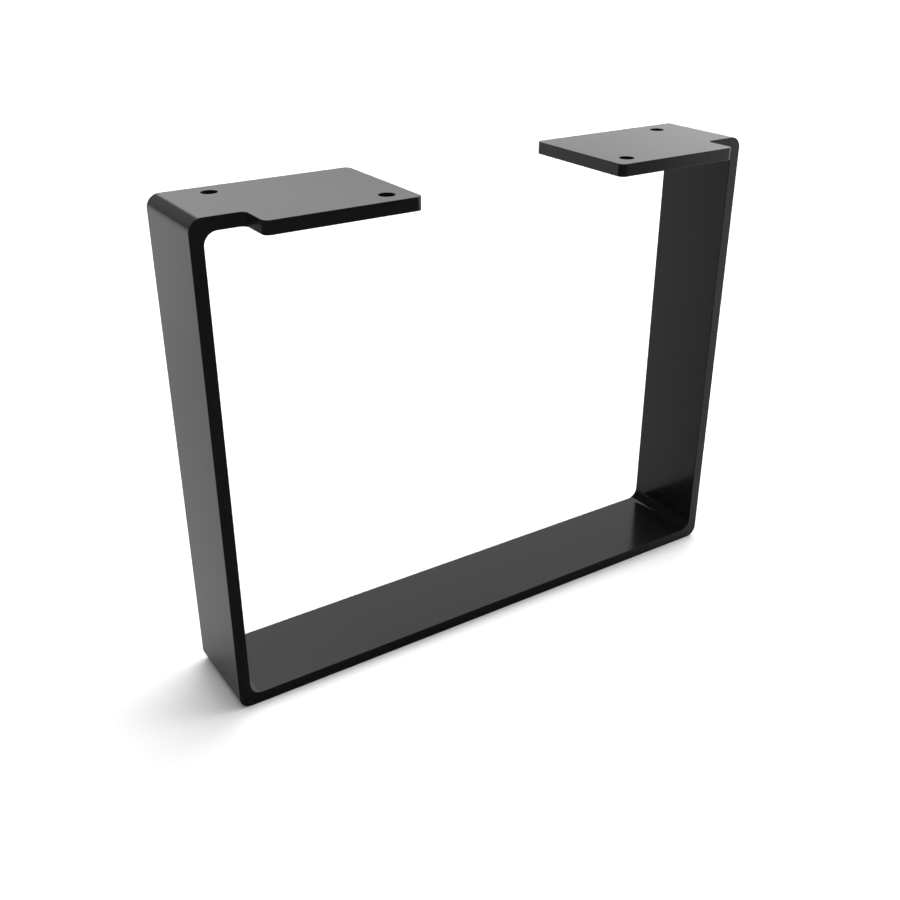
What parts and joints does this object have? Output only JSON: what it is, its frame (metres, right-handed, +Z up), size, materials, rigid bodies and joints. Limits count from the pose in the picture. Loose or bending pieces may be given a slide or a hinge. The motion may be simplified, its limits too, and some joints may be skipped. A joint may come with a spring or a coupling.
{
  "type": "furniture leg",
  "caption": "Flat steel bar bent into a square U: a floor rail, uprights and widened flanges turned inwards, with screw holes that carry a table or bench top.",
  "frame": {"origin": "on the floor, at the centre of the leg's bounding box seen from above", "axes": "+X along the floor rail from upright to upright, +Z up from the floor to the mounting flanges, +Y to the back, away from the side that the flanges step out to"},
  "size_m": [0.5, 0.11, 0.4],
  "materials": {
    "powder_coat": "satin black powder coat"
  },
  "bodies": {
    "root": {"sled_leg": "powder_coat"}
  },
  "joints": []
}
